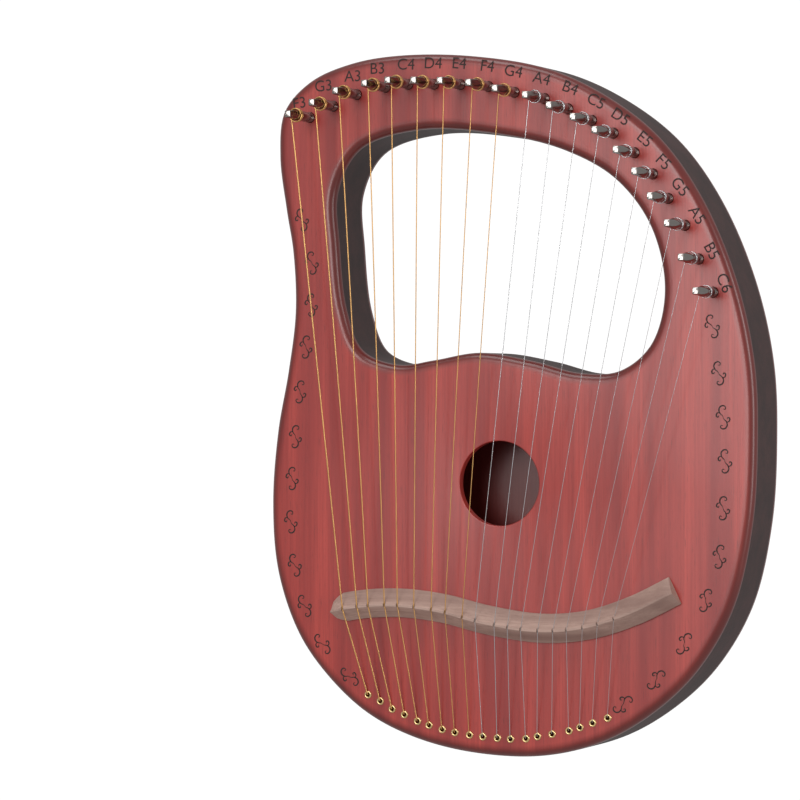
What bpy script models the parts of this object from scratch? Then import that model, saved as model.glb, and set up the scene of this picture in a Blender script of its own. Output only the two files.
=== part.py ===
"""Nineteen-string lyre harp with a hollow box body.

The lyre stands upright in its playing position: X to the right, Z up, the soundboard facing -Y.
The origin lies on the flat back, straight behind the middle of the sound hole.
Sizes are in millimetres and become metres where a shape is made.
"""
import math

import bmesh
import bpy
from mathutils import Vector

MM = 0.001

# Box body
BODY_DEPTH = 52.0
SOUNDBOARD_THICKNESS = 6.0
BACK_THICKNESS = 5.0
SOUNDBOARD_ROUND = 5.5
BACK_ROUND = 3.0
OUTER_RIM_WALL = 5.0
INNER_RIM_WALL = 5.0
GLUE_GAP = 0.3
OUTLINE_FACETS = 84
OPENING_FACETS = 54
ROUND_FACETS = 4

# Outline of the body, clockwise from the top, as (x, z) from the middle of the sound hole
BODY_OUTLINE = [
    (-75.0, 292.5), (-20.0, 290.0), (35.0, 279.0), (79.0, 257.5), (114.0, 229.5), (143.5, 188.0),
    (166.5, 134.0), (178.5, 80.0), (180.5, 27.0), (177.0, -27.0), (164.0, -81.0), (140.0, -122.0),
    (111.0, -150.0), (74.0, -172.0), (30.0, -183.5), (-22.0, -183.0), (-66.5, -173.5), (-101.0, -157.5),
    (-131.5, -131.0), (-151.5, -103.5), (-166.5, -62.0), (-170.5, -15.0), (-166.5, 35.0), (-158.5, 77.0),
    (-153.2, 118.0), (-155.0, 159.0), (-160.0, 188.0), (-165.0, 226.0), (-161.5, 256.5), (-142.0, 276.5),
    (-111.5, 288.0),
]
# Opening that the strings cross, clockwise from its top
OPENING_OUTLINE = [
    (-60.0, 241.0), (-3.0, 236.5), (45.0, 224.5), (82.0, 204.0), (107.0, 171.5), (116.5, 129.0),
    (107.0, 93.5), (85.0, 76.0), (56.0, 74.5), (23.0, 82.5), (-16.0, 88.5), (-50.0, 83.5),
    (-76.0, 80.5), (-103.0, 90.5), (-115.0, 118.0), (-120.5, 163.0), (-121.5, 200.0), (-105.0, 228.5),
]
SOUND_HOLE_DIAMETER = 57.5
SOUND_HOLE_FACETS = 32

# Blocks and braces inside the box
PIN_BLOCK_FOOT_Z = 106.0
TAIL_BLOCK_TOP_Z = -136.0
BRACE_WIDTH = 9.0
BRACE_HEIGHT = 14.0
BRACE_END_HEIGHT = 6.0
BRACE_END_LENGTH = 32.0
UPPER_BRACE_Z = 52.0
LOWER_BRACE_Z = -46.0

# Tuning pins: round shank, tapered square head
PIN_DIAMETER = 7.0
PIN_LENGTH = 57.0
PIN_STAND = 37.0
PIN_HEAD_LENGTH = 12.0
PIN_HEAD_ROOT_FLATS = 5.6
PIN_HEAD_TIP_FLATS = 4.6
PIN_CHAMFER = 0.8
PIN_FACETS = 12
PIN_HOLE_CLEARANCE = 0.3
PIN_HOLE_SPARE_DEPTH = 2.0

# Holes at the tail that the strings come out of
EYELET_HOLE_DIAMETER = 3.6
TAIL_HOLE_DIAMETER = 2.4
BALL_POCKET_DIAMETER = 5.2
SMALL_HOLE_FACETS = 8
PIN_HOLE_FACETS = 12

# Bridge: a curved ridge with one saw notch a string
BRIDGE_RIDGE = [
    (-123.0, -89.5), (-108.0, -86.2), (-90.0, -84.0), (-68.0, -83.6), (-40.0, -86.6), (-8.0, -93.6),
    (32.0, -98.3), (66.0, -95.0), (98.0, -84.6), (126.0, -71.0),
]
BRIDGE_HEIGHT = 13.0
BRIDGE_UPPER_WIDTH = 11.0
BRIDGE_LOWER_WIDTH = 8.5
BRIDGE_FOOT_HEIGHT = 2.2
BRIDGE_RIDGE_WIDTH = 1.4
BRIDGE_STATIONS = 30
BRIDGE_TIP_LENGTH = 11.0
BRIDGE_TIP_WIDTH_SHARE = 0.16
BRIDGE_TIP_HEIGHT_SHARE = 0.4
BRIDGE_HEEL_LENGTH = 4.0
BRIDGE_HEEL_HEIGHT_SHARE = 0.72
NOTCH_DEPTH = 1.3
NOTCH_SIDE_CLEARANCE = 0.35
NOTCH_LENGTH = 12.0

# Strings
COIL_TURNS = 2.5
COIL_POINTS_A_TURN = 9
COIL_TURN_GAP = 0.55
COIL_PIN_CLEARANCE = 0.45
FIRST_COIL_STAND = 21.0
LAST_COIL_STAND = 14.0
STRING_REST_CLEARANCE = 0.2
BALL_DIAMETER = 4.0
BALL_LENGTH = 3.2
BALL_SHOULDER = 0.4
LEAST_COIL_GAP = 0.4
EYELET_LIP = 2.4
EYELET_LIFT = 1.3

# String schedule from the longest: note, gauge, pin (x, z), notch x, eyelet hole (x, z)
STRINGS = [
    ("F3", 0.95, (-140.5, 251.6), -110.7, (-96.6, -145.9)),
    ("G3", 0.90, (-122.7, 258.9), -100.0, (-87.4, -150.0)),
    ("A3", 0.85, (-105.1, 266.3), -91.5, (-78.6, -155.1)),
    ("B3", 0.80, (-83.7, 270.6), -79.3, (-69.5, -158.6)),
    ("C4", 0.76, (-66.6, 272.1), -69.5, (-59.8, -162.8)),
    ("D4", 0.72, (-47.6, 271.4), -57.5, (-51.3, -165.2)),
    ("E4", 0.68, (-28.4, 270.6), -44.8, (-41.6, -167.8)),
    ("F4", 0.64, (-7.9, 268.6), -34.9, (-32.3, -169.5)),
    ("G4", 0.60, (11.1, 264.1), -22.1, (-21.6, -170.8)),
    ("A4", 0.50, (32.7, 259.1), -12.5, (-11.9, -171.6)),
    ("B4", 0.48, (49.6, 251.7), 1.3, (-1.3, -172.2)),
    ("C5", 0.46, (66.5, 243.5), 10.3, (8.2, -172.5)),
    ("D5", 0.44, (81.8, 234.5), 19.9, (19.4, -171.9)),
    ("E5", 0.42, (96.6, 221.1), 32.4, (27.7, -170.1)),
    ("F5", 0.40, (109.5, 206.6), 43.1, (38.2, -168.1)),
    ("G5", 0.38, (120.3, 190.1), 53.1, (50.3, -165.5)),
    ("A5", 0.36, (132.0, 172.1), 64.3, (58.1, -163.0)),
    ("B5", 0.34, (141.6, 149.6), 74.8, (67.1, -159.7)),
    ("C6", 0.32, (151.6, 127.5), 86.3, (77.8, -156.0)),
]
WOUND_STRINGS = 9

# Places along Y that the sizes above give
FRONT_FACE_Y = -BODY_DEPTH
SOUNDBOARD_INNER_Y = FRONT_FACE_Y + SOUNDBOARD_THICKNESS
BACK_INNER_Y = -BACK_THICKNESS
CORE_FRONT_Y = SOUNDBOARD_INNER_Y + GLUE_GAP
CORE_BACK_Y = BACK_INNER_Y - GLUE_GAP
BRIDGE_FOOT_Y = FRONT_FACE_Y - GLUE_GAP
BRIDGE_RIDGE_Y = BRIDGE_FOOT_Y - BRIDGE_HEIGHT
NOTCH_FLOOR_Y = BRIDGE_RIDGE_Y + NOTCH_DEPTH

for old_object in list(bpy.context.scene.objects):
    bpy.data.objects.remove(old_object, do_unlink=True)

LYRE = bpy.data.collections.new("lyre_harp")
CUTTERS = bpy.data.collections.new("cutters")
bpy.context.scene.collection.children.link(LYRE)
bpy.context.scene.collection.children.link(CUTTERS)


def principled(name, colour, roughness, metallic=0.0):
    """A plain Principled BSDF material."""
    material = bpy.data.materials.new(name)
    material.use_nodes = True
    shader = material.node_tree.nodes["Principled BSDF"]
    shader.inputs["Base Color"].default_value = (*colour, 1.0)
    shader.inputs["Roughness"].default_value = roughness
    shader.inputs["Metallic"].default_value = metallic
    return material


def smooth_loop(points, count):
    """A closed curve through the points (centripetal Catmull-Rom), cut into equal lengths."""
    dense = []
    total = len(points)
    for index in range(total):
        corners = [Vector(points[(index + shift) % total]) for shift in (-1, 0, 1, 2)]
        dense.extend(curve_piece(corners, 24))
    return equal_steps(dense, count, closed=True)


def smooth_path(points, count):
    """An open curve through the points, cut into equal lengths, ends included."""
    first = Vector(points[0]) * 2 - Vector(points[1])
    last = Vector(points[-1]) * 2 - Vector(points[-2])
    padded = [first] + [Vector(point) for point in points] + [last]
    dense = []
    for index in range(1, len(padded) - 2):
        dense.extend(curve_piece(padded[index - 1:index + 3], 24))
    dense.append(padded[-2])
    return equal_steps(dense, count, closed=False)


def curve_piece(corners, steps):
    """Points of the centripetal Catmull-Rom piece from corners[1] up to corners[2]."""
    knots = [0.0]
    for before, after in zip(corners, corners[1:]):
        knots.append(knots[-1] + math.sqrt((after - before).length))
    piece = []
    for step in range(steps):
        t = knots[1] + (knots[2] - knots[1]) * step / steps
        level = list(corners)
        for rise in range(1, 3):
            level = [blend_between(level[i], level[i + 1], knots[i], knots[i + rise], t)
                     for i in range(len(level) - 1)]
        piece.append(blend_between(level[0], level[1], knots[1], knots[2], t))
    return piece


def blend_between(start, end, start_knot, end_knot, t):
    share = (t - start_knot) / (end_knot - start_knot)
    return start.lerp(end, share)


def equal_steps(dense, count, closed):
    """Points at equal steps along a dense polyline."""
    line = dense + [dense[0]] if closed else dense
    lengths = [0.0]
    for before, after in zip(line, line[1:]):
        lengths.append(lengths[-1] + (after - before).length)
    spaces = count if closed else count - 1
    points = []
    segment = 0
    for step in range(count):
        target = lengths[-1] * step / spaces
        while segment < len(line) - 2 and lengths[segment + 1] < target:
            segment += 1
        span = lengths[segment + 1] - lengths[segment]
        share = (target - lengths[segment]) / span
        points.append(line[segment].lerp(line[segment + 1], share))
    return points


def inset(loop, distance):
    """The closed clockwise loop moved inwards, or outwards for a negative distance."""
    moved = []
    total = len(loop)
    for index in range(total):
        along = (loop[(index + 1) % total] - loop[index - 1]).normalized()
        inward = Vector((along.y, -along.x))
        moved.append(loop[index] + inward * distance)
    return moved


def circle(centre, diameter, facets):
    """A clockwise ring of points whose flats, not corners, touch the stated diameter."""
    radius = diameter / 2 / math.cos(math.pi / facets)
    ring = []
    for step in range(facets):
        angle = -2 * math.pi * (step + 0.5) / facets
        ring.append(Vector((centre[0] + radius * math.cos(angle), centre[1] + radius * math.sin(angle))))
    return ring


def reach_at(loop, z):
    """The least and greatest x where the closed loop crosses the height z."""
    crossings = []
    for index in range(len(loop)):
        before, after = loop[index - 1], loop[index]
        if (before.y - z) * (after.y - z) < 0:
            share = (z - before.y) / (after.y - before.y)
            crossings.append(before.x + (after.x - before.x) * share)
    return min(crossings), max(crossings)


def part_below(loop, z):
    """The points of a clockwise loop below the height z, closed by a level edge."""
    left, right = reach_at(loop, z)
    start = max(range(len(loop)), key=lambda i: loop[i].y)
    turned = loop[start:] + loop[:start]
    kept = [point for point in turned if point.y < z]
    return [Vector((right, z))] + kept + [Vector((left, z))]


def arc_above(loop, z):
    """The points of a clockwise loop above the height z, from its left crossing to its right."""
    left, right = reach_at(loop, z)
    start = min(range(len(loop)), key=lambda i: loop[i].y)
    turned = loop[start:] + loop[:start]
    kept = [point for point in turned if point.y > z]
    return [Vector((left, z))] + kept + [Vector((right, z))]


def add_ring(mesh, loop, y):
    """A ring of vertices and edges at the depth y."""
    corners = [mesh.verts.new((point.x * MM, y * MM, point.y * MM)) for point in loop]
    return [mesh.edges.new((corners[index - 1], corners[index])) for index in range(len(corners))]


def object_from(name, mesh, material, collection=LYRE):
    """Close the bmesh into an object whose faces point out."""
    bmesh.ops.remove_doubles(mesh, verts=mesh.verts, dist=1e-7)
    bmesh.ops.recalc_face_normals(mesh, faces=mesh.faces)
    data = bpy.data.meshes.new(name)
    mesh.to_mesh(data)
    mesh.free()
    data.shade_smooth()
    data.set_sharp_from_angle(angle=math.radians(35))
    if material:
        data.materials.append(material)
    thing = bpy.data.objects.new(name, data)
    collection.objects.link(thing)
    return thing


def wall_rings(loop, back_y, front_y, front_round, back_round, inward):
    """Ring loops of one wall from the back to the front, with its rounded edges."""
    rings = []
    for step in range(ROUND_FACETS + 1 if back_round else 1):
        angle = math.pi / 2 * step / ROUND_FACETS
        rings.append((inset(loop, inward * back_round * (1 - math.sin(angle))),
                      back_y - back_round * (1 - math.cos(angle))))
    for step in range(ROUND_FACETS + 1 if front_round else 1):
        angle = math.pi / 2 * step / ROUND_FACETS
        rings.append((inset(loop, inward * front_round * (1 - math.cos(angle))),
                      front_y + front_round * (1 - math.sin(angle))))
    return rings


def slab(name, outer, holes, back_y, front_y, material, front_round=0.0, back_round=0.0, rounded=()):
    """A board lofted from its back to its front face; the rounded loops get rounded edges."""
    mesh = bmesh.new()
    back_edges = []
    front_edges = []
    for number, loop in enumerate([outer] + list(holes)):
        has_round = number in rounded
        rings = wall_rings(loop, back_y, front_y, front_round if has_round else 0.0,
                           back_round if has_round else 0.0, 1 if number == 0 else -1)
        levels = [add_ring(mesh, ring, y) for ring, y in rings]
        for lower, upper in zip(levels, levels[1:]):
            bmesh.ops.bridge_loops(mesh, edges=lower + upper)
        back_edges.extend(levels[0])
        front_edges.extend(levels[-1])
    for edges in (back_edges, front_edges):
        bmesh.ops.triangle_fill(mesh, use_beauty=True, use_dissolve=False, edges=edges)
    return object_from(name, mesh, material)


def cut(body, cutter_mesh, name):
    """Cut the bodies of a bmesh out of an object with one Boolean."""
    cutter = object_from(name, cutter_mesh, None, CUTTERS)
    cutter.hide_render = True
    cutter.display_type = "WIRE"
    boolean = body.modifiers.new(name, "BOOLEAN")
    boolean.operation = "DIFFERENCE"
    boolean.solver = "EXACT"
    boolean.object = cutter


mahogany = principled("mahogany_veneer", (0.23, 0.028, 0.022), 0.42)
dark_rim = principled("dark_stained_rim", (0.045, 0.017, 0.018), 0.55)
beech = principled("beech_block", (0.45, 0.29, 0.16), 0.6)
spruce = principled("spruce_brace", (0.62, 0.45, 0.26), 0.6)
bridge_wood = principled("bare_bridge_wood", (0.32, 0.21, 0.18), 0.7)
pin_steel = principled("nickel_plated_pin", (0.58, 0.57, 0.55), 0.22, 1.0)
wound_bronze = principled("wound_bronze_string", (0.72, 0.5, 0.28), 0.32, 1.0)
plain_steel = principled("plain_steel_string", (0.7, 0.7, 0.71), 0.22, 1.0)

# The box: soundboard, back and the two rims between them
outline = smooth_loop(BODY_OUTLINE, OUTLINE_FACETS)
opening = smooth_loop(OPENING_OUTLINE, OPENING_FACETS)
sound_hole = circle((0.0, 0.0), SOUND_HOLE_DIAMETER, SOUND_HOLE_FACETS)
pin_hole_diameter = PIN_DIAMETER + 2 * PIN_HOLE_CLEARANCE
pin_places = [pin for note, gauge, pin, notch, eyelet in STRINGS]
eyelet_places = [eyelet for note, gauge, pin, notch, eyelet in STRINGS]
pin_holes = [circle(place, pin_hole_diameter, PIN_HOLE_FACETS) for place in pin_places]
eyelet_holes = [circle(place, EYELET_HOLE_DIAMETER, SMALL_HOLE_FACETS) for place in eyelet_places]
tail_holes = [circle(place, TAIL_HOLE_DIAMETER, SMALL_HOLE_FACETS) for place in eyelet_places]
ball_pockets = [circle(place, BALL_POCKET_DIAMETER, SMALL_HOLE_FACETS) for place in eyelet_places]

slab("soundboard", outline, [opening, sound_hole] + pin_holes + eyelet_holes,
     SOUNDBOARD_INNER_Y, FRONT_FACE_Y, mahogany, front_round=SOUNDBOARD_ROUND, rounded=(0, 1))
slab("back_plate", outline, [opening] + ball_pockets, 0.0, BACK_INNER_Y, mahogany,
     back_round=BACK_ROUND, rounded=(0, 1))
rim_inside = inset(outline, OUTER_RIM_WALL)
slab("outer_rim", outline, [rim_inside], CORE_BACK_Y, CORE_FRONT_Y, dark_rim)
opening_outside = inset(opening, -INNER_RIM_WALL)
slab("opening_rim", opening_outside, [opening], CORE_BACK_Y, CORE_FRONT_Y, dark_rim)

# Hardwood block along the top arm that grips the tuning pins
block_outside = inset(rim_inside, GLUE_GAP)
block_inside = inset(opening_outside, -GLUE_GAP)
pin_block_outline = arc_above(block_outside, PIN_BLOCK_FOOT_Z)
pin_block_outline += list(reversed(arc_above(block_inside, PIN_BLOCK_FOOT_Z)))
pin_block = slab("pin_block", pin_block_outline, [], CORE_BACK_Y, CORE_FRONT_Y, beech)
pin_foot_y = FRONT_FACE_Y - PIN_STAND + PIN_LENGTH
drills = bmesh.new()
for place in pin_places:
    drill_end_y = pin_foot_y + PIN_HOLE_SPARE_DEPTH
    drill_start_y = CORE_FRONT_Y - SOUNDBOARD_THICKNESS
    ring = circle(place, pin_hole_diameter, PIN_HOLE_FACETS)
    ends = [add_ring(drills, ring, drill_end_y), add_ring(drills, ring, drill_start_y)]
    bmesh.ops.bridge_loops(drills, edges=ends[0] + ends[1])
    for end in ends:
        bmesh.ops.triangle_fill(drills, use_beauty=True, use_dissolve=False, edges=end)
cut(pin_block, drills, "pin_hole_drills")

# Block at the tail that the string balls pull against
slab("tail_block", part_below(block_outside, TAIL_BLOCK_TOP_Z), tail_holes,
     CORE_BACK_Y, CORE_FRONT_Y, beech)


def brace(name, z):
    """A cross brace under the soundboard, thinned towards both ends."""
    reaches = [reach_at(block_outside, z + side * BRACE_WIDTH / 2) for side in (-1, 1)]
    left = max(reach[0] for reach in reaches)
    right = min(reach[1] for reach in reaches)
    foot_y = CORE_FRONT_Y
    profile = [
        (left, foot_y), (right, foot_y), (right, foot_y + BRACE_END_HEIGHT),
        (right - BRACE_END_LENGTH, foot_y + BRACE_HEIGHT), (left + BRACE_END_LENGTH, foot_y + BRACE_HEIGHT),
        (left, foot_y + BRACE_END_HEIGHT),
    ]
    mesh = bmesh.new()
    sides = []
    for height in (z - BRACE_WIDTH / 2, z + BRACE_WIDTH / 2):
        corners = [mesh.verts.new((x * MM, y * MM, height * MM)) for x, y in profile]
        sides.append([mesh.edges.new((corners[i - 1], corners[i])) for i in range(len(corners))])
    bmesh.ops.bridge_loops(mesh, edges=sides[0] + sides[1])
    for side in sides:
        bmesh.ops.triangle_fill(mesh, use_beauty=True, use_dissolve=False, edges=side)
    return object_from(name, mesh, spruce)


brace("upper_brace", UPPER_BRACE_Z)
brace("lower_brace", LOWER_BRACE_Z)

# The curved bridge
ridge = smooth_path(BRIDGE_RIDGE, BRIDGE_STATIONS)


def ridge_height_at(x):
    """The z of the bridge's ridge line at a given x."""
    for before, after in zip(ridge, ridge[1:]):
        if before.x <= x <= after.x:
            return before.y + (after.y - before.y) * (x - before.x) / (after.x - before.x)
    raise ValueError("notch beyond the bridge")


def bridge_section(width_share, height_share):
    """Section of the bridge as (up the board, off the board), clockwise from the upper foot."""
    top = BRIDGE_HEIGHT * height_share
    foot = min(BRIDGE_FOOT_HEIGHT, top / 2)
    upper = BRIDGE_UPPER_WIDTH * width_share
    lower = BRIDGE_LOWER_WIDTH * width_share
    half_ridge = BRIDGE_RIDGE_WIDTH / 2 * width_share
    return [(upper, 0.0), (upper, foot), (half_ridge, top), (-half_ridge, top), (-lower, foot), (-lower, 0.0)]


def make_bridge():
    mesh = bmesh.new()
    travelled = [0.0]
    for before, after in zip(ridge, ridge[1:]):
        travelled.append(travelled[-1] + (after - before).length)
    levels = []
    for index, place in enumerate(ridge):
        before = ridge[max(index - 1, 0)]
        after = ridge[min(index + 1, len(ridge) - 1)]
        along = (after - before).normalized()
        up_board = Vector((-along.y, along.x))
        from_tip = min(travelled[index] / BRIDGE_TIP_LENGTH, 1.0)
        from_heel = min((travelled[-1] - travelled[index]) / BRIDGE_HEEL_LENGTH, 1.0)
        width_share = BRIDGE_TIP_WIDTH_SHARE + (1 - BRIDGE_TIP_WIDTH_SHARE) * math.sqrt(from_tip)
        height_share = BRIDGE_TIP_HEIGHT_SHARE + (1 - BRIDGE_TIP_HEIGHT_SHARE) * from_tip
        height_share *= BRIDGE_HEEL_HEIGHT_SHARE + (1 - BRIDGE_HEEL_HEIGHT_SHARE) * from_heel
        corners = []
        for up, off in bridge_section(width_share, height_share):
            spot = place + up_board * up
            corners.append(mesh.verts.new((spot.x * MM, (BRIDGE_FOOT_Y - off) * MM, spot.y * MM)))
        levels.append([mesh.edges.new((corners[i - 1], corners[i])) for i in range(len(corners))])
    for lower, upper in zip(levels, levels[1:]):
        bmesh.ops.bridge_loops(mesh, edges=lower + upper)
    for end in (levels[0], levels[-1]):
        bmesh.ops.triangle_fill(mesh, use_beauty=True, use_dissolve=False, edges=end)
    return object_from("bridge", mesh, bridge_wood)


bridge = make_bridge()
saws = bmesh.new()
for note, gauge, pin, notch_x, eyelet in STRINGS:
    notch = Vector((notch_x, ridge_height_at(notch_x)))
    along = (Vector(pin) - Vector(eyelet)).normalized()
    width = gauge + 2 * NOTCH_SIDE_CLEARANCE
    blade = bmesh.ops.create_cube(saws, size=1.0)["verts"]
    bmesh.ops.scale(saws, vec=(width * MM, 2 * NOTCH_DEPTH * MM, NOTCH_LENGTH * MM), verts=blade)
    turn = math.atan2(along.x, along.y)
    bmesh.ops.rotate(saws, cent=(0, 0, 0), verts=blade,
                     matrix=Vector((0, 0, 1)).rotation_difference(
                         Vector((math.sin(turn), 0, math.cos(turn)))).to_matrix())
    centre_y = NOTCH_FLOOR_Y - NOTCH_DEPTH
    bmesh.ops.translate(saws, vec=(notch.x * MM, centre_y * MM, notch.y * MM), verts=blade)
cut(bridge, saws, "notch_saws")


def pin_mesh():
    """Round shank and tapered square head, along -Y from the soundboard's face."""
    round_radius = PIN_DIAMETER / 2
    foot = PIN_LENGTH - PIN_STAND
    head_root = PIN_STAND - PIN_HEAD_LENGTH
    rings = [
        (-foot, round_radius - PIN_CHAMFER, PIN_DIAMETER),
        (-foot + PIN_CHAMFER, round_radius, PIN_DIAMETER),
        (head_root - PIN_CHAMFER, round_radius, PIN_DIAMETER),
        (head_root + PIN_CHAMFER, round_radius, PIN_HEAD_ROOT_FLATS),
        (PIN_STAND - PIN_CHAMFER, round_radius, PIN_HEAD_TIP_FLATS),
        (PIN_STAND, round_radius - 2 * PIN_CHAMFER, PIN_HEAD_TIP_FLATS - PIN_CHAMFER),
    ]
    mesh = bmesh.new()
    levels = []
    for stand, radius, flats in rings:
        corners = []
        for step in range(PIN_FACETS):
            angle = 2 * math.pi * (step + 0.5) / PIN_FACETS
            across = max(abs(math.cos(angle)), abs(math.sin(angle)))
            reach = min(radius, flats / 2 / across)
            corners.append(mesh.verts.new((reach * math.cos(angle) * MM, -stand * MM,
                                           reach * math.sin(angle) * MM)))
        levels.append([mesh.edges.new((corners[i - 1], corners[i])) for i in range(PIN_FACETS)])
    for lower, upper in zip(levels, levels[1:]):
        bmesh.ops.bridge_loops(mesh, edges=lower + upper)
    for end in (levels[0], levels[-1]):
        bmesh.ops.triangle_fill(mesh, use_beauty=True, use_dissolve=False, edges=end)
    return mesh


first_pin = object_from("pin_" + STRINGS[0][0], pin_mesh(), pin_steel)
first_pin.location = (pin_places[0][0] * MM, FRONT_FACE_Y * MM, pin_places[0][1] * MM)
for note, gauge, pin, notch_x, eyelet in STRINGS[1:]:
    tuning_pin = bpy.data.objects.new("pin_" + note, first_pin.data)
    tuning_pin.location = (pin[0] * MM, FRONT_FACE_Y * MM, pin[1] * MM)
    LYRE.objects.link(tuning_pin)


def string_route(number, gauge, pin, notch_x, eyelet):
    """Points and thicknesses of one string, from its ball at the back to its last turn."""
    radius = gauge / 2
    notch = Vector((notch_x, ridge_height_at(notch_x)))
    hole = Vector(eyelet)
    towards_notch = (notch - hole).normalized()
    ball_end_y = CORE_BACK_Y + STRING_REST_CLEARANCE
    route = []

    def add(place, y, thickness=radius):
        route.append((Vector((place.x, y, place.y)), thickness))

    add(hole, ball_end_y + BALL_LENGTH, BALL_DIAMETER / 2)
    add(hole, ball_end_y, BALL_DIAMETER / 2)
    add(hole, ball_end_y - BALL_SHOULDER)
    add(hole, SOUNDBOARD_INNER_Y)
    add(hole, FRONT_FACE_Y)
    lip_y = FRONT_FACE_Y - EYELET_LIFT
    add(hole + towards_notch * EYELET_LIP * 0.25, FRONT_FACE_Y - EYELET_LIFT * 0.75)
    add(hole + towards_notch * EYELET_LIP, lip_y)
    add(notch, NOTCH_FLOOR_Y - radius - STRING_REST_CLEARANCE)

    centre = Vector(pin)
    coil_radius = PIN_DIAMETER / 2 + COIL_PIN_CLEARANCE + radius
    coil_stand = FIRST_COIL_STAND + (LAST_COIL_STAND - FIRST_COIL_STAND) * number / (len(STRINGS) - 1)
    coil_y = FRONT_FACE_Y - coil_stand
    to_notch = notch - centre
    lean = math.acos(coil_radius / to_notch.length)
    start_angle = math.atan2(to_notch.y, to_notch.x) - lean
    pitch = gauge + COIL_TURN_GAP
    for step in range(round(COIL_TURNS * COIL_POINTS_A_TURN) + 1):
        turned = step / COIL_POINTS_A_TURN
        angle = start_angle - 2 * math.pi * turned
        spot = centre + Vector((math.cos(angle), math.sin(angle))) * coil_radius
        add(spot, coil_y - pitch * turned)
    return route


def least_gap(route, gauge):
    """Least clear distance between points of the coil that are half a turn or more apart."""
    coil = [place for place, thickness in route[8:]]
    apart = COIL_POINTS_A_TURN // 2
    distances = [(coil[i] - coil[j]).length for i in range(len(coil)) for j in range(i + apart, len(coil))]
    return min(distances) - gauge


def make_string(number, note, gauge, pin, notch_x, eyelet):
    route = string_route(number, gauge, pin, notch_x, eyelet)
    gap = least_gap(route, gauge)
    print(f"string {note}: least gap between turns {gap:.2f} mm (more than {LEAST_COIL_GAP})")
    data = bpy.data.curves.new("string_" + note, "CURVE")
    data.dimensions = "3D"
    data.bevel_depth = 1.0 * MM
    data.bevel_resolution = 1
    data.use_fill_caps = True
    spline = data.splines.new("POLY")
    spline.points.add(len(route) - 1)
    for point, (place, thickness) in zip(spline.points, route):
        point.co = (place.x * MM, place.y * MM, place.z * MM, 1.0)
        point.radius = thickness
    data.materials.append(wound_bronze if number < WOUND_STRINGS else plain_steel)
    LYRE.objects.link(bpy.data.objects.new("string_" + note, data))


for number, (note, gauge, pin, notch_x, eyelet) in enumerate(STRINGS):
    make_string(number, note, gauge, pin, notch_x, eyelet)
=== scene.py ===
"""Lyre harp with a red lacquered box body, on white, seen from the right of its soundboard.

X points right, Z up, and the soundboard faces -Y. Sizes are in millimetres until a mesh is made.
"""

import math

import bmesh
import bpy
from mathutils import Matrix, Vector
from mathutils.geometry import delaunay_2d_cdt


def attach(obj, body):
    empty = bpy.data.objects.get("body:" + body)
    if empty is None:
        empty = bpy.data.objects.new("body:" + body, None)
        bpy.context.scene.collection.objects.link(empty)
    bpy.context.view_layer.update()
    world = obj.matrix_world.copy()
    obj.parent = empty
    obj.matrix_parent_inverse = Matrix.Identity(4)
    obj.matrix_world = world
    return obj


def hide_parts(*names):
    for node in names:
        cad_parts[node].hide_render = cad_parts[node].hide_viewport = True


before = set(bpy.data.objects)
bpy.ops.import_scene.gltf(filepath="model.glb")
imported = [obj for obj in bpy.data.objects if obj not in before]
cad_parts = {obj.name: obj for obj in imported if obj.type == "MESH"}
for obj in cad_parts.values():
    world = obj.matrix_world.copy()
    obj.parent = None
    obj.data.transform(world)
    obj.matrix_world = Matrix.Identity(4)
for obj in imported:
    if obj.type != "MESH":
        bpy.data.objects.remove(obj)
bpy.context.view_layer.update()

MM = 0.001
BODY = "lyre_body"
FRONT_Y = -52.0
FRONT_INNER_Y = -46.0
BACK_INNER_Y = -5.0
CURVE_STEPS = 24
WELD_DISTANCE_MM = 1e-5
SHARP_ANGLE_DEGREES = 35.0


def linear(code):
    """Linear colour with alpha from an sRGB hex code."""
    channels = [int(code[place:place + 2], 16) / 255 for place in (0, 2, 4)]
    return tuple(c / 12.92 if c <= 0.04045 else ((c + 0.055) / 1.055) ** 2.4 for c in channels) + (1.0,)


def add_node(tree, kind, settings=None, inputs=None):
    """A node with its settings, and its inputs as values or linked sockets."""
    new = tree.nodes.new(kind)
    for key, value in (settings or {}).items():
        setattr(new, key, value)
    for key, value in (inputs or {}).items():
        if isinstance(value, bpy.types.NodeSocket):
            tree.links.new(value, new.inputs[key])
        else:
            new.inputs[key].default_value = value
    return new


def new_material(name, colour, roughness, metallic=0.0, coat=0.0):
    """A material with its Principled shader's own values set."""
    material = bpy.data.materials.new(name)
    material.use_nodes = True
    shader = material.node_tree.nodes["Principled BSDF"]
    shader.inputs["Base Color"].default_value = linear(colour)
    shader.inputs["Roughness"].default_value = roughness
    shader.inputs["Metallic"].default_value = metallic
    shader.inputs["Coat Weight"].default_value = coat
    shader.inputs["Coat Roughness"].default_value = 0.25
    return material


def stretched_noise(tree, scale, detail, low, high):
    """Noise from 0 to 1 over the object's own place, drawn out by the scale along X, Y and Z."""
    place = add_node(tree, "ShaderNodeTexCoord").outputs["Object"]
    stretched = add_node(tree, "ShaderNodeMapping", inputs={"Vector": place, "Scale": scale})
    noise = add_node(tree, "ShaderNodeTexNoise", inputs={
        "Vector": stretched.outputs["Vector"], "Scale": 1.0, "Detail": detail, "Roughness": 0.6})
    spread = add_node(tree, "ShaderNodeMapRange", inputs={
        "Value": noise.outputs["Fac"], "From Min": low, "From Max": high})
    return spread.outputs["Result"]


def mixed(tree, share, first, second):
    """Two colours mixed by a share."""
    new = add_node(tree, "ShaderNodeMixRGB", inputs={"Fac": share, "Color1": first, "Color2": second})
    return new.outputs["Color"]


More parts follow.
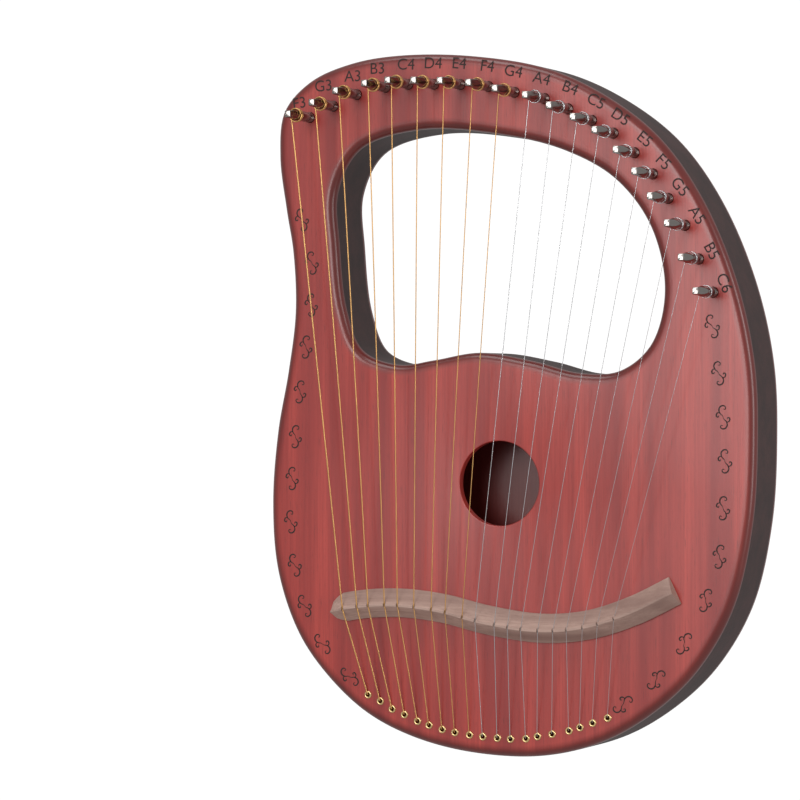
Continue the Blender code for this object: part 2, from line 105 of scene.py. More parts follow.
def wood(name, dark, light, pore, roughness, grain_axis, coat=0.0, bump=0.05):
    """Grained wood: broad bands, fine grain lines and short pores along one axis."""
    material = new_material(name, light, roughness, coat=coat)
    tree = material.node_tree
    shader = tree.nodes["Principled BSDF"]

    def scales(across, along):
        return tuple(along if axis == grain_axis else across for axis in range(3))

    bands = stretched_noise(tree, scales(55.0, 2.5), 3.0, 0.35, 0.65)
    lines = stretched_noise(tree, scales(650.0, 9.0), 5.0, 0.38, 0.66)
    pores = stretched_noise(tree, scales(2600.0, 90.0), 2.0, 0.6, 0.72)
    base = mixed(tree, bands, linear(dark), linear(light))
    lined = mixed(tree, lines, base, linear(dark))
    soft = mixed(tree, 0.55, base, lined)
    pored = mixed(tree, pores, soft, linear(pore))
    colour = mixed(tree, 0.5, soft, pored)
    height = add_node(tree, "ShaderNodeBump", inputs={
        "Height": lines, "Strength": bump, "Distance": 0.0002})
    tree.links.new(colour, shader.inputs["Base Color"])
    tree.links.new(height.outputs["Normal"], shader.inputs["Normal"])
    return material


def curve_piece(corners, steps):
    """Points of the centripetal Catmull-Rom piece from corners[1] up to corners[2]."""
    knots = [0.0]
    for before, after in zip(corners, corners[1:]):
        knots.append(knots[-1] + math.sqrt((after - before).length))
    piece = []
    for step in range(steps):
        t = knots[1] + (knots[2] - knots[1]) * step / steps
        level = list(corners)
        for rise in (1, 2):
            level = [level[i].lerp(level[i + 1], (t - knots[i]) / (knots[i + rise] - knots[i]))
                     for i in range(len(level) - 1)]
        piece.append(level[0].lerp(level[1], (t - knots[1]) / (knots[2] - knots[1])))
    return piece


def equal_steps(line, count):
    """Points at equal steps along a polyline, both ends included."""
    lengths = [0.0]
    for before, after in zip(line, line[1:]):
        lengths.append(lengths[-1] + (after - before).length)
    points = []
    segment = 0
    for step in range(count):
        target = lengths[-1] * step / (count - 1)
        while segment < len(line) - 2 and lengths[segment + 1] < target:
            segment += 1
        share = (target - lengths[segment]) / (lengths[segment + 1] - lengths[segment])
        points.append(line[segment].lerp(line[segment + 1], share))
    return points


def smooth_loop(points, count):
    """A closed smooth curve through the points, cut into equal steps."""
    dense = []
    for index in range(len(points)):
        corners = [Vector(points[(index + shift) % len(points)]) for shift in (-1, 0, 1, 2)]
        dense.extend(curve_piece(corners, CURVE_STEPS))
    return equal_steps(dense + [dense[0]], count + 1)[:-1]


def smooth_path(points, count):
    """An open smooth curve through the points, cut into equal steps."""
    places = [Vector(point) for point in points]
    padded = [places[0] * 2 - places[1]] + places + [places[-1] * 2 - places[-2]]
    dense = []
    for index in range(1, len(padded) - 2):
        dense.extend(curve_piece(padded[index - 1:index + 3], CURVE_STEPS))
    return equal_steps(dense + [places[-1]], count)


def inset(loop, distance):
    """A clockwise loop moved inwards, or outwards for a negative distance."""
    moved = []
    for index, point in enumerate(loop):
        along = (loop[(index + 1) % len(loop)] - loop[index - 1]).normalized()
        moved.append(point + Vector((along.y, -along.x)) * distance)
    return moved


def circle(centre, diameter, facets):
    """A clockwise ring of points."""
    turns = [-2 * math.pi * step / facets for step in range(facets)]
    return [Vector((centre[0] + diameter / 2 * math.cos(t), centre[1] + diameter / 2 * math.sin(t)))
            for t in turns]


def add_ring(mesh, loop, y, edge_share=None):
    """A ring of vertices at the depth y, with its share of the way in from the edge."""
    corners = [mesh.verts.new((point[0] * MM, y * MM, point[1] * MM)) for point in loop]
    if edge_share is not None:
        layer = mesh.verts.layers.float["edge"]
        for corner in corners:
            corner[layer] = edge_share
    return corners


def join_rings(mesh, levels):
    """Walls of four-sided faces from each ring to the next."""
    for lower, upper in zip(levels, levels[1:]):
        for index in range(len(lower)):
            mesh.faces.new((lower[index - 1], lower[index], upper[index], upper[index - 1]))


def is_inside(place, loop):
    """Whether the place lies inside the closed loop."""
    crossings = 0
    for index, point in enumerate(loop):
        before = loop[index - 1]
        if (before.y > place.y) != (point.y > place.y):
            share = (place.y - before.y) / (point.y - before.y)
            crossings += before.x + (point.x - before.x) * share > place.x
    return crossings % 2 == 1


def fill_between(mesh, rings):
    """Flat triangles inside the first ring and outside the others."""
    corners = []
    loops = []
    sides = []
    for ring in rings:
        start = len(corners)
        corners += ring
        loops.append([Vector((corner.co.x, corner.co.z)) / MM for corner in corners[start:]])
        sides += [(start + step, start + (step + 1) % len(ring)) for step in range(len(ring))]
    places = [point for loop in loops for point in loop]
    found = delaunay_2d_cdt(places, sides, [], 1, WELD_DISTANCE_MM)
    for triangle in found[2]:
        middle = sum((found[0][index] for index in triangle), Vector((0.0, 0.0))) / 3
        if not any(is_inside(middle, loop) for loop in loops[1:]):
            mesh.faces.new([corners[found[3][index][0]] for index in triangle])


def finish_mesh(mesh, name, material, sharp_angle=SHARP_ANGLE_DEGREES):
    """A scene object from a bmesh whose faces are made to point out."""
    bmesh.ops.recalc_face_normals(mesh, faces=mesh.faces)
    data = bpy.data.meshes.new(name)
    mesh.to_mesh(data)
    mesh.free()
    data.shade_smooth()
    data.set_sharp_from_angle(angle=math.radians(sharp_angle))
    data.materials.append(material)
    thing = bpy.data.objects.new(name, data)
    bpy.context.scene.collection.objects.link(thing)
    return thing


def on_body(piece, nodes=()):
    """The piece rides on the body and stands for these CAD nodes."""
    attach(piece, BODY)
    if nodes:
        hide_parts(*nodes)


def repeats(name, shape, places, material):
    """Copies of a small mesh at (x, y, z, turn about Y), set out by Geometry Nodes as one mesh."""
    points = bpy.data.meshes.new(name + "_places")
    points.from_pydata([(x * MM, y * MM, z * MM) for x, y, z, turn in places], [], [])
    turns = points.attributes.new("turn", "FLOAT_VECTOR", "POINT")
    for item, (x, y, z, turn) in zip(turns.data, places):
        item.vector = (0.0, turn, 0.0)
    holder = bpy.data.objects.new(name + "_places", points)
    bpy.context.scene.collection.objects.link(holder)
    tree = bpy.data.node_groups.new(name + "_repeats", "GeometryNodeTree")
    face = tree.interface
    face.new_socket("Geometry", in_out="INPUT", socket_type="NodeSocketGeometry")
    shape_socket = face.new_socket("Shape", in_out="INPUT", socket_type="NodeSocketObject")
    finish_socket = face.new_socket("Finish", in_out="INPUT", socket_type="NodeSocketMaterial")
    face.new_socket("Geometry", in_out="OUTPUT", socket_type="NodeSocketGeometry")
    entry = add_node(tree, "NodeGroupInput")
    turned = add_node(tree, "GeometryNodeInputNamedAttribute",
                      {"data_type": "FLOAT_VECTOR"}, {"Name": "turn"})
    copied = add_node(tree, "GeometryNodeObjectInfo", inputs={"Object": entry.outputs["Shape"]})
    spread = add_node(tree, "GeometryNodeInstanceOnPoints", inputs={
        "Points": entry.outputs["Geometry"], "Instance": copied.outputs["Geometry"],
        "Rotation": turned.outputs["Attribute"]})
    solid = add_node(tree, "GeometryNodeRealizeInstances", inputs={
        "Geometry": spread.outputs["Instances"]})
    painted = add_node(tree, "GeometryNodeSetMaterial", inputs={
        "Geometry": solid.outputs["Geometry"], "Material": entry.outputs["Finish"]})
    add_node(tree, "NodeGroupOutput", inputs={"Geometry": painted.outputs["Geometry"]})
    modifier = holder.modifiers.new("repeats", "NODES")
    modifier.node_group = tree
    modifier[shape_socket.identifier] = shape
    modifier[finish_socket.identifier] = material
    holder.update_tag()
    graph = bpy.context.evaluated_depsgraph_get()
    graph.update()
    data = bpy.data.meshes.new_from_object(holder.evaluated_get(graph))
    data.name = name
    piece = bpy.data.objects.new(name, data)
    bpy.context.scene.collection.objects.link(piece)
    holder.modifiers.remove(modifier)
    bpy.data.objects.remove(holder, do_unlink=True)
    bpy.data.objects.remove(shape, do_unlink=True)
    return piece


# Outlines of body and opening, clockwise from the top, as (x, z) from the middle of the sound hole
BODY_OUTLINE = [
    (-75.0, 292.5), (-20.0, 290.0), (35.0, 279.0), (79.0, 257.5), (114.0, 229.5), (143.5, 188.0),
    (166.5, 134.0), (178.5, 80.0), (180.5, 27.0), (177.0, -27.0), (164.0, -81.0), (140.0, -122.0),
    (111.0, -150.0), (74.0, -172.0), (30.0, -183.5), (-22.0, -183.0), (-66.5, -173.5), (-101.0, -157.5),
    (-131.5, -131.0), (-151.5, -103.5), (-166.5, -62.0), (-170.5, -15.0), (-166.5, 35.0), (-158.5, 77.0),
    (-153.2, 118.0), (-155.0, 159.0), (-160.0, 188.0), (-165.0, 226.0), (-161.5, 256.5), (-142.0, 276.5),
    (-111.5, 288.0),
]
OPENING_OUTLINE = [
    (-60.0, 241.0), (-3.0, 236.5), (45.0, 224.5), (82.0, 204.0), (107.0, 171.5), (116.5, 129.0),
    (107.0, 93.5), (85.0, 76.0), (56.0, 74.5), (23.0, 82.5), (-16.0, 88.5), (-50.0, 83.5),
    (-76.0, 80.5), (-103.0, 90.5), (-115.0, 118.0), (-120.5, 163.0), (-121.5, 200.0), (-105.0, 228.5),
]
OUTLINE_FACETS = 336
OPENING_FACETS = 216
outline = smooth_loop(BODY_OUTLINE, OUTLINE_FACETS)
opening = smooth_loop(OPENING_OUTLINE, OPENING_FACETS)

# Note, gauge, pin (x, z), notch x, eyelet (x, z), and where the name stands: offset (x, z), lean
STRINGS = [
    ("F3", 0.95, (-140.5, 251.6), -110.7, (-96.6, -145.9), (-8.0, 10.0), -8),
    ("G3", 0.90, (-122.7, 258.9), -100.0, (-87.4, -150.0), (-7.5, 14.0), -4),
    ("A3", 0.85, (-105.1, 266.3), -91.5, (-78.6, -155.1), (-3.0, 12.5), 0),
    ("B3", 0.80, (-83.7, 270.6), -79.3, (-69.5, -158.6), (-6.0, 12.8), 0),
    ("C4", 0.76, (-66.6, 272.1), -69.5, (-59.8, -162.8), (-1.8, 13.4), 2),
    ("D4", 0.72, (-47.6, 271.4), -57.5, (-51.3, -165.2), (-0.8, 14.2), 3),
    ("E4", 0.68, (-28.4, 270.6), -44.8, (-41.6, -167.8), (-0.8, 14.2), 5),
    ("F4", 0.64, (-7.9, 268.6), -34.9, (-32.3, -169.5), (-0.8, 13.6), 8),
    ("G4", 0.60, (11.1, 264.1), -22.1, (-21.6, -170.8), (-0.8, 14.0), 11),
    ("A4", 0.50, (32.7, 259.1), -12.5, (-11.9, -171.6), (-2.0, 13.4), 15),
    ("B4", 0.48, (49.6, 251.7), 1.3, (-1.3, -172.2), (1.5, 13.8), 21),
    ("C5", 0.46, (66.5, 243.5), 10.3, (8.2, -172.5), (3.0, 12.6), 28),
    ("D5", 0.44, (81.8, 234.5), 19.9, (19.4, -171.9), (5.0, 10.6), 34),
    ("E5", 0.42, (96.6, 221.1), 32.4, (27.7, -170.1), (7.2, 8.6), 40),
    ("F5", 0.40, (109.5, 206.6), 43.1, (38.2, -168.1), (7.4, 7.6), 45),
    ("G5", 0.38, (120.3, 190.1), 53.1, (50.3, -165.5), (8.2, 7.4), 50),
    ("A5", 0.36, (132.0, 172.1), 64.3, (58.1, -163.0), (8.3, 6.4), 56),
    ("B5", 0.34, (141.6, 149.6), 74.8, (67.1, -159.7), (8.8, 5.0), 62),
    ("C6", 0.32, (151.6, 127.5), 86.3, (77.8, -156.0), (7.6, 6.0), 66),
]
WOUND_STRINGS = 9

# Soundboard and back: red lacquered boards with rounded edges and a darker border band, partly a sunburst
# finish and partly painted shade on the rounded edges
BORDER = 8.0
ROUND_STEPS = 8
SOUNDBOARD_ROUND = 5.5
BACK_ROUND = 3.0
SOUND_HOLE_ROUND = 0.7
SOUND_HOLE_DIAMETER = 57.5
PIN_HOLE_DIAMETER = 7.6
STRING_HOLE_DIAMETER = 3.6
BALL_POCKET_DIAMETER = 5.2
lacquered = wood("red_lacquered_mahogany", "8a1f1b", "b23a30", "4a0f0d", 0.34, 2, coat=0.35)
lacquer_tree = lacquered.node_tree
lacquer_base = lacquer_tree.nodes["Principled BSDF"].inputs["Base Color"]
lacquer_colour = lacquer_base.links[0].from_socket
edge_share = add_node(lacquer_tree, "ShaderNodeAttribute", {"attribute_name": "edge"}).outputs["Fac"]
# Darker towards the board edges over the border width: partly a sunburst finish, partly painted shade where
# the rounded edges turn away from the light
sunburst_and_shade_share = add_node(lacquer_tree, "ShaderNodeMapRange", inputs={
    "Value": edge_share, "From Min": 0.35, "From Max": 0.95, "To Min": 0.8, "To Max": 0.0}).outputs["Result"]
sunburst_and_shade_colour = mixed(lacquer_tree, sunburst_and_shade_share, lacquer_colour, linear("4c1410"))
lacquer_tree.links.new(sunburst_and_shade_colour, lacquer_base)


def board(name, holes, inner_y, face_y, roundings):
    """A board from its inner to its outer face; the first loops have their own edge rounding."""
    mesh = bmesh.new()
    mesh.verts.layers.float.new("edge")
    outwards = 1 if face_y > inner_y else -1
    inner_rings = []
    face_rings = []
    for number, loop in enumerate([outline] + holes):
        side = 1 if number == 0 else -1
        rounding = roundings[number] if number < len(roundings) else 0.0
        start_share = 0.0 if number < 2 else 1.0
        rings = [(loop, inner_y, start_share)]
        for step in range(ROUND_STEPS + 1 if rounding else 0):
            angle = math.pi / 2 * step / ROUND_STEPS
            inward = rounding * (1 - math.cos(angle))
            share = max(start_share, inward / BORDER)
            drop = rounding * (1 - math.sin(angle))
            rings.append((inset(loop, side * inward), face_y - outwards * drop, share))
        if number < 2:
            rings.append((inset(loop, side * BORDER), face_y, 1.0))
        elif not rounding:
            rings.append((loop, face_y, 1.0))
        levels = [add_ring(mesh, ring, y, share) for ring, y, share in rings]
        join_rings(mesh, levels)
        inner_rings.append(levels[0])
        face_rings.append(levels[-1])
    fill_between(mesh, inner_rings)
    fill_between(mesh, face_rings)
    piece = finish_mesh(mesh, name + "_wood", lacquered)
    on_body(piece, [name])


sound_hole = circle((0.0, 0.0), SOUND_HOLE_DIAMETER, 96)
pin_holes = [circle(row[2], PIN_HOLE_DIAMETER, 24) for row in STRINGS]
string_holes = [circle(row[4], STRING_HOLE_DIAMETER, 16) for row in STRINGS]
ball_pockets = [circle(row[4], BALL_POCKET_DIAMETER, 20) for row in STRINGS]
board("soundboard", [opening, sound_hole] + pin_holes + string_holes, FRONT_INNER_Y, FRONT_Y,
      (SOUNDBOARD_ROUND, SOUNDBOARD_ROUND, SOUND_HOLE_ROUND))
board("back_plate", [opening] + ball_pockets, BACK_INNER_Y, 0.0, (BACK_ROUND, BACK_ROUND))

# Side walls around the outside and around the opening: dark stained, matte
rim_stain = wood("dark_stained_rim", "2a1110", "3f1f1d", "1a0908", 0.6, 0, bump=0.08)
RIM_WALL = 5.0


def rim(name, outer, inner):
    """A wall between two loops, from the back board to the soundboard."""
    mesh = bmesh.new()
    rings = [(outer, BACK_INNER_Y), (outer, FRONT_INNER_Y), (inner, FRONT_INNER_Y), (inner, BACK_INNER_Y)]
    levels = [add_ring(mesh, ring, y) for ring, y in rings]
    join_rings(mesh, levels + levels[:1])
    on_body(finish_mesh(mesh, name + "_wood", rim_stain), [name])


rim("outer_rim", outline, inset(outline, RIM_WALL))
rim("opening_rim", inset(opening, -RIM_WALL), opening)

# Blocks and braces inside the box keep their CAD shape: bare beech and bare spruce
bare_beech = wood("bare_beech", "a5794f", "c79b6c", "7c5636", 0.62, 0)
bare_spruce = wood("bare_spruce", "c9a775", "dfc394", "a9854f", 0.62, 0)
INNER_WOODS = (("pin_block", bare_beech), ("tail_block", bare_beech),
               ("upper_brace", bare_spruce), ("lower_brace", bare_spruce))
for node_name, inner_wood in INNER_WOODS:
    node_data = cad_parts[node_name].data
    node_data.materials.clear()
    node_data.materials.append(inner_wood)

# Bridge: bare grey-brown wood, a curved ridge with one saw notch a string
BRIDGE_RIDGE = [
    (-123.0, -89.5), (-108.0, -86.2), (-90.0, -84.0), (-68.0, -83.6), (-40.0, -86.6), (-8.0, -93.6),
    (32.0, -98.3), (66.0, -95.0), (98.0, -84.6), (126.0, -71.0),
]
BRIDGE_HEIGHT = 13.0
BRIDGE_UPPER = 11.0
BRIDGE_LOWER = 8.5
BRIDGE_FOOT = 2.2
RIDGE_HALF = 0.7
NOTCH_DEPTH = 1.3
NOTCH_SIDE_CLEARANCE = 0.35
NOTCH_RAMP = 0.05
TIP_LENGTH = 11.0
TIP_WIDTH_SHARE = 0.16
TIP_HEIGHT_SHARE = 0.4
HEEL_LENGTH = 4.0
HEEL_HEIGHT_SHARE = 0.72
RIDGE_POINTS = 400
BRIDGE_STATIONS = 90
bridge_finish = wood("bare_bridge_wood", "8c7066", "b4978a", "6b5249", 0.68, 0, bump=0.2)
ridge = smooth_path(BRIDGE_RIDGE, RIDGE_POINTS)
ridge_lengths = [0.0]
for before, after in zip(ridge, ridge[1:]):
    ridge_lengths.append(ridge_lengths[-1] + (after - before).length)


def ridge_point(travelled):
    """Place and direction on the ridge line at a length along it."""
    index = max(1, min(len(ridge) - 1, sum(1 for length in ridge_lengths if length <= travelled)))
    before, after = ridge[index - 1], ridge[index]
    share = (travelled - ridge_lengths[index - 1]) / (ridge_lengths[index] - ridge_lengths[index - 1])
    return before.lerp(after, share), (after - before).normalized()


def ridge_length_at(x):
    """Length along the ridge where it reaches x."""
    nearest = min(range(len(ridge)), key=lambda index: abs(ridge[index].x - x))
    return ridge_lengths[nearest]


notches = [(ridge_length_at(row[3]), row[1] / 2 + NOTCH_SIDE_CLEARANCE) for row in STRINGS]
stations = [(ridge_lengths[-1] * step / BRIDGE_STATIONS, False) for step in range(BRIDGE_STATIONS + 1)]
stations = [(place, cut) for place, cut in stations
            if all(abs(place - notch) > half + 2 * NOTCH_RAMP for notch, half in notches)]
for notch, half in notches:
    stations += [(notch - half - NOTCH_RAMP, False), (notch - half, True)]
    stations += [(notch + half, True), (notch + half + NOTCH_RAMP, False)]
mesh = bmesh.new()
levels = []
for place, is_notch in sorted(stations):
    spot, along = ridge_point(place)
    up_board = Vector((-along.y, along.x))
    from_tip = min(place / TIP_LENGTH, 1.0)
    from_heel = min((ridge_lengths[-1] - place) / HEEL_LENGTH, 1.0)
    width = TIP_WIDTH_SHARE + (1 - TIP_WIDTH_SHARE) * math.sqrt(from_tip)
    height = TIP_HEIGHT_SHARE + (1 - TIP_HEIGHT_SHARE) * from_tip
    height *= HEEL_HEIGHT_SHARE + (1 - HEEL_HEIGHT_SHARE) * from_heel
    top = BRIDGE_HEIGHT * height
    foot = min(BRIDGE_FOOT, top / 2)
    ridge_upper = RIDGE_HALF * width
    ridge_lower = RIDGE_HALF * width
    if is_notch:
        drop = NOTCH_DEPTH / (top - foot)
        ridge_upper += (BRIDGE_UPPER * width - ridge_upper) * drop
        ridge_lower += (BRIDGE_LOWER * width - ridge_lower) * drop
        top -= NOTCH_DEPTH
    section = [(BRIDGE_UPPER * width, 0.0), (BRIDGE_UPPER * width, foot), (ridge_upper, top),
               (-ridge_lower, top), (-BRIDGE_LOWER * width, foot), (-BRIDGE_LOWER * width, 0.0)]
    corners = []
    for up, off in section:
        corner = spot + up_board * up
        corners.append(mesh.verts.new((corner.x * MM, (FRONT_Y - off) * MM, corner.y * MM)))
    levels.append(corners)
join_rings(mesh, levels)
for end in (levels[0], levels[-1]):
    mesh.faces.new(end)
on_body(finish_mesh(mesh, "bridge_wood", bridge_finish, sharp_angle=25.0), ["bridge"])

# Tuning pins: nickel plated steel, fine thread at the board, square tapered head for the wrench
PIN_STAND = 37.0
PIN_FOOT = 20.0
PIN_RADIUS = 3.5
PIN_FACETS = 48
THREAD_PITCH = 0.9
THREAD_DEPTH = 0.22
THREAD_RINGS = 7
nickel = new_material("nickel_plated_steel", "8d8783", 0.18, metallic=1.0)
# Rings of the pin as (stand above the soundboard, radius, width over the flats)
pin_rings = [(-PIN_FOOT, 2.7, 7.0), (-PIN_FOOT + 0.8, PIN_RADIUS, 7.0)]
for turn in range(THREAD_RINGS):
    pin_rings += [(turn * THREAD_PITCH, PIN_RADIUS, 7.0),
                  ((turn + 0.5) * THREAD_PITCH, PIN_RADIUS - THREAD_DEPTH, 7.0)]
pin_rings += [(THREAD_RINGS * THREAD_PITCH, PIN_RADIUS, 7.0), (24.2, PIN_RADIUS, 7.0),
              (25.8, PIN_RADIUS, 5.6), (36.2, PIN_RADIUS, 4.6), (36.8, 2.9, 4.2), (PIN_STAND, 2.4, 3.7)]
mesh = bmesh.new()
levels = []
for stand, radius, flats in pin_rings:
    loop = []
    for step in range(PIN_FACETS):
        angle = 2 * math.pi * (step + 0.5) / PIN_FACETS
        across = max(abs(math.cos(angle)), abs(math.sin(angle)))
        reach = min(radius, flats / 2 / across)
        loop.append((reach * math.cos(angle), reach * math.sin(angle)))
    levels.append(add_ring(mesh, loop, FRONT_Y - stand))
join_rings(mesh, levels)
for end in (levels[0], levels[-1]):
    mesh.faces.new(end)
pin_shape = finish_mesh(mesh, "pin_shape", nickel, sharp_angle=30.0)
for note, gauge, pin, notch_x, eyelet, name_offset, lean in STRINGS:
    data = pin_shape.data.copy()
    data.transform(Matrix.Translation((pin[0] * MM, 0.0, pin[1] * MM)))
    piece = bpy.data.objects.new("tuning_pin_" + note + "_steel", data)
    bpy.context.scene.collection.objects.link(piece)
    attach(piece, "tuning_pin_" + note)
    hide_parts("pin_" + note)
bpy.data.objects.remove(pin_shape, do_unlink=True)

# Strings: nine bronze wound and ten plain steel, each wound on its pin
COIL_TURNS = 2.5
COIL_POINTS = 32
COIL_GAP = 0.55
COIL_PIN_CLEARANCE = 0.45
COIL_FIRST_STAND = 21.0
COIL_LAST_STAND = 14.0
REST_CLEARANCE = 0.2
LIP_REACH = 2.4
LIP_LIFT = 1.3
# Shares of the reach and lift where a string bends over its eyelet
LIP_BEND = ((0.1, 0.45), (0.3, 0.8), (0.6, 1.0), (1.0, 1.0))
BALL_Y = -5.1
BALL_LENGTH = 3.2
BALL_RADIUS = 2.0
BALL_SHOULDER = 0.4
bronze = new_material("bronze_wound_string", "d3a468", 0.3, metallic=1.0)
steel = new_material("plain_steel_string", "c9c9cb", 0.2, metallic=1.0)
for number, (note, gauge, pin, notch_x, eyelet, name_offset, lean) in enumerate(STRINGS):
    radius = gauge / 2
    notch, along = ridge_point(ridge_length_at(notch_x))
    hole = Vector(eyelet)
    up_board = (notch - hole).normalized()
    route = [(hole, BALL_Y + BALL_LENGTH, BALL_RADIUS), (hole, BALL_Y, BALL_RADIUS),
             (hole, BALL_Y - BALL_SHOULDER, radius), (hole, FRONT_Y, radius)]
    for reach, lift in LIP_BEND:
        route.append((hole + up_board * LIP_REACH * reach, FRONT_Y - LIP_LIFT * lift, radius))
    route.append((notch, FRONT_Y - BRIDGE_HEIGHT + NOTCH_DEPTH - radius - REST_CLEARANCE, radius))
    centre = Vector(pin)
    coil_radius = PIN_RADIUS + COIL_PIN_CLEARANCE + radius
    stand = COIL_FIRST_STAND + (COIL_LAST_STAND - COIL_FIRST_STAND) * number / (len(STRINGS) - 1)
    to_notch = notch - centre
    start = math.atan2(to_notch.y, to_notch.x) - math.acos(coil_radius / to_notch.length)
    for step in range(round(COIL_TURNS * COIL_POINTS) + 1):
        turned = step / COIL_POINTS
        angle = start - 2 * math.pi * turned
        spot = centre + Vector((math.cos(angle), math.sin(angle))) * coil_radius
        route.append((spot, FRONT_Y - stand - (gauge + COIL_GAP) * turned, radius))
    data = bpy.data.curves.new("string_" + note + "_wire", "CURVE")
    data.dimensions = "3D"
    # Each point's own radius, in millimetres, multiplies this depth
    data.bevel_depth = MM
    data.bevel_resolution = 3
    data.use_fill_caps = True
    spline = data.splines.new("POLY")
    spline.points.add(len(route) - 1)
    for point, (spot, y, thickness) in zip(spline.points, route):
        point.co = (spot.x * MM, y * MM, spot.y * MM, 1.0)
        point.radius = thickness
    spline.use_smooth = True
    is_wound = number < WOUND_STRINGS
    data.materials.append(bronze if is_wound else steel)
    piece = bpy.data.objects.new(data.name, data)
    bpy.context.scene.collection.objects.link(piece)
    on_body(piece, ["string_" + note])

# Eyelets at the tail: rolled brass rings pressed into the string holes
brass = new_material("brass_eyelet", "e0c48c", 0.25, metallic=1.0)
# Half of an eyelet's section, as (radius, stand above the soundboard)
EYELET_PROFILE = [(1.35, 0.0), (1.35, 0.45), (1.7, 0.8), (2.2, 0.85), (2.6, 0.5), (2.75, 0.0)]
EYELET_FACETS = 32
mesh = bmesh.new()
levels = [add_ring(mesh, circle((0.0, 0.0), 2 * radius, EYELET_FACETS), FRONT_Y - stand)
          for radius, stand in EYELET_PROFILE]
join_rings(mesh, levels)
eyelet_shape = finish_mesh(mesh, "eyelet_shape", brass, sharp_angle=60.0)
eyelet_places = [(row[4][0], 0.0, row[4][1], 0.0) for row in STRINGS]
on_body(repeats("tail_eyelets", eyelet_shape, eyelet_places, brass))

# Note names and scrolls burnt into the lacquer: dark, matte, almost flush
burnt = new_material("burnt_marks", "2a120e", 0.7)
MARK_PROUD = 0.06
NAME_SIZE = 11.0
mesh = bmesh.new()
for note, gauge, pin, notch_x, eyelet, name_offset, lean in STRINGS:
    text = bpy.data.curves.new("name_" + note, "FONT")
    text.body = note
    text.size = NAME_SIZE * MM
    text.extrude = MARK_PROUD / 2 * MM
    text.align_x = "CENTER"
    text.align_y = "CENTER"
    holder = bpy.data.objects.new("name_" + note, text)
    bpy.context.scene.collection.objects.link(holder)
    bpy.context.view_layer.update()
    letters = bpy.data.meshes.new_from_object(holder.evaluated_get(bpy.context.evaluated_depsgraph_get()))
    place = Vector((pin[0] + name_offset[0], FRONT_Y - MARK_PROUD / 2, pin[1] + name_offset[1]))
    letters.transform(Matrix.Translation(place * MM) @ Matrix.Rotation(math.pi / 2, 4, "X")
                      @ Matrix.Rotation(-math.radians(lean), 4, "Z"))
    mesh.from_mesh(letters)
    bpy.data.objects.remove(holder, do_unlink=True)
on_body(finish_mesh(mesh, "note_names", burnt))

# Scroll places along both sides, as (x, z); each scroll follows the edge next to it
SCROLLS = [
    (151.0, 105.0), (155.5, 74.0), (158.5, 45.0), (159.8, 16.0), (158.5, -15.0), (156.0, -47.0),
    (146.5, -76.0), (131.5, -105.0), (112.0, -129.5), (88.5, -146.6), (-146.5, 181.0), (-139.0, 151.0),
    (-139.5, 122.0), (-143.5, 93.0), (-148.0, 62.0), (-151.5, 31.0), (-154.0, 2.0), (-155.0, -28.0),
    (-152.0, -58.0), (-144.5, -86.0), (-131.0, -112.0), (-110.5, -134.0),
]
# Half of a scroll from the curl at its end to its middle, and the leaf beside it
SCROLL_HALF_LINE = [(0.2, 5.6), (1.3, 5.2), (1.8, 6.4), (0.6, 7.6), (-1.6, 7.2), (-2.8, 5.2), (-2.2, 2.8),
                    (-0.5, 1.1), (0.0, 0.0)]
SCROLL_LEAF = [(-2.4, 3.4), (-4.2, 2.6), (-4.6, 0.8), (-3.4, 0.2), (-2.8, 1.4)]
SCROLL_LINE_WIDTH = 1.0
SCROLL_END_SHARE = 0.35
SCROLL_STEPS = 48
mesh = bmesh.new()
for half_turn in (1, -1):
    for stroke in (SCROLL_HALF_LINE, SCROLL_LEAF):
        line = smooth_path([(x * half_turn, z * half_turn) for x, z in stroke], SCROLL_STEPS)
        rows = []
        for index, point in enumerate(line):
            along = (line[min(index + 1, SCROLL_STEPS - 1)] - line[max(index - 1, 0)]).normalized()
            swell = math.sin(math.pi * (index + 1) / SCROLL_STEPS)
            swell = SCROLL_END_SHARE + (1 - SCROLL_END_SHARE) * swell
            side = Vector((-along.y, along.x)) * SCROLL_LINE_WIDTH / 2 * swell
            rows.append([mesh.verts.new((spot.x * MM, 0.0, spot.y * MM))
                         for spot in (point - side, point + side)])
        for before, after in zip(rows, rows[1:]):
            mesh.faces.new((before[0], before[1], after[1], after[0]))
scroll_shape = finish_mesh(mesh, "scroll_shape", burnt)
scroll_places = []
for x, z in SCROLLS:
    nearest = min(range(len(outline)), key=lambda index: (outline[index] - Vector((x, z))).length)
    along = outline[(nearest + 1) % len(outline)] - outline[nearest - 1]
    scroll_places.append((x, FRONT_Y - MARK_PROUD, z, math.atan2(along.x, along.y)))
on_body(repeats("edge_scrolls", scroll_shape, scroll_places, burnt))

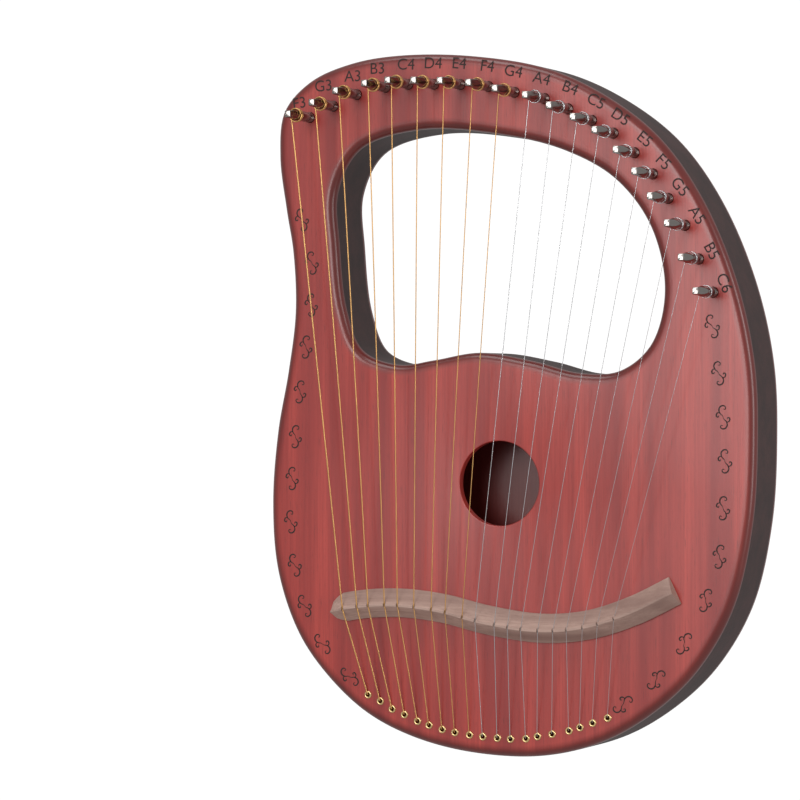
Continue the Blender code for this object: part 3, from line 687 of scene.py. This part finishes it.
# White studio without a floor: a soft light in front, a strip at the right and a soft light from above
world = bpy.data.worlds.new("white_room")
world.use_nodes = True
world_tree = world.node_tree
room = world_tree.nodes["Background"]
room.inputs["Color"].default_value = (1.0, 1.0, 1.0, 1.0)
room.inputs["Strength"].default_value = 0.5
seen = add_node(world_tree, "ShaderNodeBackground", inputs={
    "Color": (1.0, 1.0, 1.0, 1.0), "Strength": 1.05})
ray = add_node(world_tree, "ShaderNodeLightPath")
chosen = add_node(world_tree, "ShaderNodeMixShader", inputs={
    0: ray.outputs["Is Camera Ray"], 1: room.outputs["Background"], 2: seen.outputs["Background"]})
world_tree.links.new(chosen.outputs["Shader"], world_tree.nodes["World Output"].inputs["Surface"])
bpy.context.scene.world = world

TARGET = Vector((0.0, -0.05, 0.05))


def soft_light(name, azimuth, elevation, distance, width, height, energy):
    """A rectangular soft light aimed at the lyre; azimuth counts from the front towards +X."""
    data = bpy.data.lights.new(name, "AREA")
    data.shape = "RECTANGLE"
    data.size = width
    data.size_y = height
    data.energy = energy
    lamp = bpy.data.objects.new(name, data)
    turn = math.radians(azimuth)
    rise = math.radians(elevation)
    way = Vector((math.sin(turn) * math.cos(rise), -math.cos(turn) * math.cos(rise), math.sin(rise)))
    lamp.location = TARGET + way * distance
    lamp.rotation_euler = (-way).to_track_quat("-Z", "Y").to_euler()
    bpy.context.scene.collection.objects.link(lamp)


soft_light("key_softbox", -6.0, 12.0, 2.6, 1.0, 1.4, 26.0)
soft_light("side_strip", 75.0, 10.0, 2.2, 0.3, 1.6, 14.0)
soft_light("top_softbox", -30.0, 65.0, 2.4, 1.2, 1.2, 16.0)

camera_data = bpy.data.cameras.new("photo_camera")
camera_data.lens = 164.5
camera_data.sensor_width = 36.0
camera = bpy.data.objects.new("photo_camera", camera_data)
camera.location = (0.9040, -2.3533, 0.0564)
camera.rotation_euler = (math.radians(90.0), 0.0, math.radians(23.0))
bpy.context.scene.collection.objects.link(camera)

scene = bpy.context.scene
scene.camera = camera
scene.render.engine = "CYCLES"
scene.cycles.samples = 128
scene.cycles.use_denoising = True
scene.render.resolution_x = 1000
scene.render.resolution_y = 1000
scene.view_settings.view_transform = "Standard"
